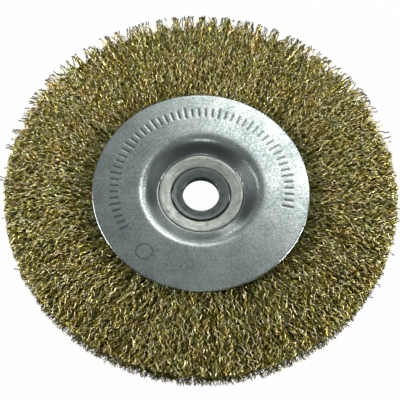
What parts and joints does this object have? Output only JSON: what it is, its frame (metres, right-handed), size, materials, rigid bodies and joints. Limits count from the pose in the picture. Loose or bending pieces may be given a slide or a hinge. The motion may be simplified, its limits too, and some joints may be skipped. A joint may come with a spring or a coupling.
{
  "type": "wire wheel brush",
  "caption": "Crimped wire wheel brush: a ring of wavy brass-coated wires clamped between two dished zinc side plates, with a rolled hub ferrule and a reducing bush in its bore.",
  "frame": {"origin": "where the wheel's axis meets the surface the brush lies on", "axes": "+Z along the wheel's axis, up, out of the front plate; +X and +Y anywhere across the wheel, which is round"},
  "size_m": [0.15, 0.1498, 0.013],
  "materials": {
    "zinc_plate": "zinc-plated pressed sheet steel, satin, lightly scuffed",
    "rolled_steel": "plated steel, burnished by the rolling tool",
    "dark_steel": "dark phosphated steel",
    "core_steel": "plain drawn steel wire",
    "brass_wire": "brass-coated crimped steel wire, olive gold with dark gaps"
  },
  "bodies": {
    "root": {"front_plate": "zinc_plate", "back_plate": "zinc_plate", "hub_ferrule": "rolled_steel", "arbor_bush": "dark_steel", "core_ring": "core_steel", "wire_fill": "brass_wire"}
  },
  "joints": []
}
